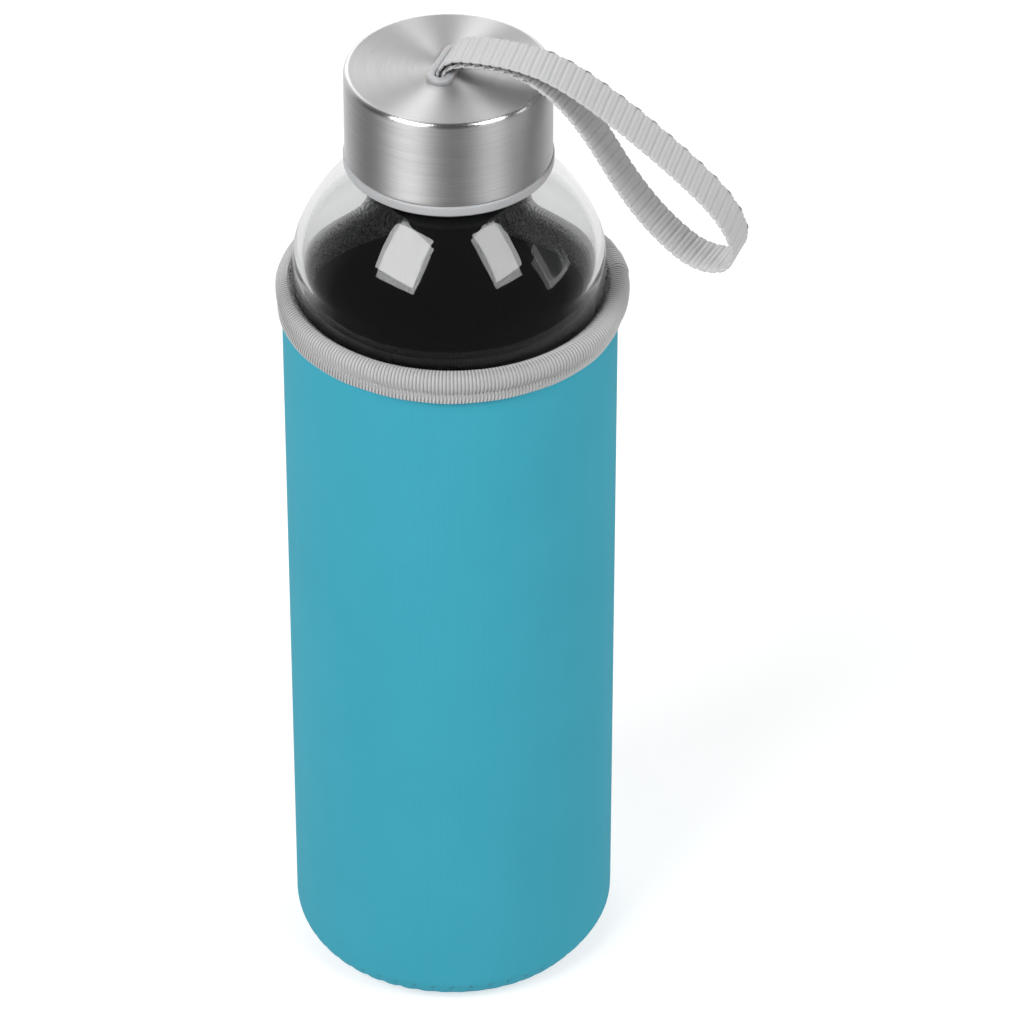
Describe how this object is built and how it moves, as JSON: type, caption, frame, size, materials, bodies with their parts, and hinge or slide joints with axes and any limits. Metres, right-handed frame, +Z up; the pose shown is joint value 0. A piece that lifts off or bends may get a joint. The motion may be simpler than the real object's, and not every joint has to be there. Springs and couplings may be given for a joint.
{
  "type": "glass water bottle",
  "caption": "Glass water bottle with a brushed steel screw lid, a woven carry loop and a close-fitting neoprene sleeve.",
  "frame": {"origin": "centre of the sleeve's flat underside", "axes": "+Z up along the bottle's axis; the carry loop lies out towards +X, turned 20 degrees towards -Y; the sleeve's side seam is 20 degrees from +X towards +Y"},
  "size_m": [0.0979, 0.0736, 0.2263],
  "materials": {
    "clear_glass": "clear polished soda-lime glass",
    "brushed_lid_steel": "spun on the top face, brushed round the side",
    "grey_plastic": "satin moulded polypropylene",
    "silicone": "soft matt silicone",
    "clip_steel": "plain pressed strip",
    "webbing": "ribbed woven polyester tape",
    "teal_neoprene": "fine knit jersey over closed-cell foam",
    "black_jersey": "fine black knit",
    "grey_tape": "ribbed grosgrain binding",
    "grey_thread": "twisted polyester thread",
    "teal_thread": "twisted polyester thread"
  },
  "bodies": {
    "sleeve": {"side_panel": "teal_neoprene", "side_lining": "black_jersey", "base_panel": "teal_neoprene", "base_lining": "black_jersey", "top_binding": "grey_tape", "binding_stitch": "grey_thread", "base_seam_stitch": "teal_thread", "side_seam_stitch": "teal_thread"},
    "bottle": {"glass_bottle": "clear_glass"},
    "seal": {"seal_ring": "silicone"},
    "lid": {"lid_shell": "brushed_lid_steel", "inner_cap": "grey_plastic", "strap_grommet": "grey_plastic", "strap_clip": "clip_steel", "carry_strap": "webbing"}
  },
  "joints": [
    {"name": "bottle_slide", "type": "slide", "parent": "sleeve", "child": "bottle", "axis": [0, 0, 1], "range_m": [0, 0.17]},
    {"name": "lid_rise", "type": "slide", "parent": "bottle", "child": "seal", "axis": [0, 0, 1], "range_m": [0, 0.0169]},
    {"name": "lid_turn", "type": "hinge", "parent": "seal", "child": "lid", "pos_m": [0, 0, 0.21], "axis": [0, 0, 1], "range_deg": [0, 1440]}
  ],
  "couplings": [
    {"joint": "lid_rise", "follows": "lid_turn", "m_per_rad": 0.00066845}
  ]
}
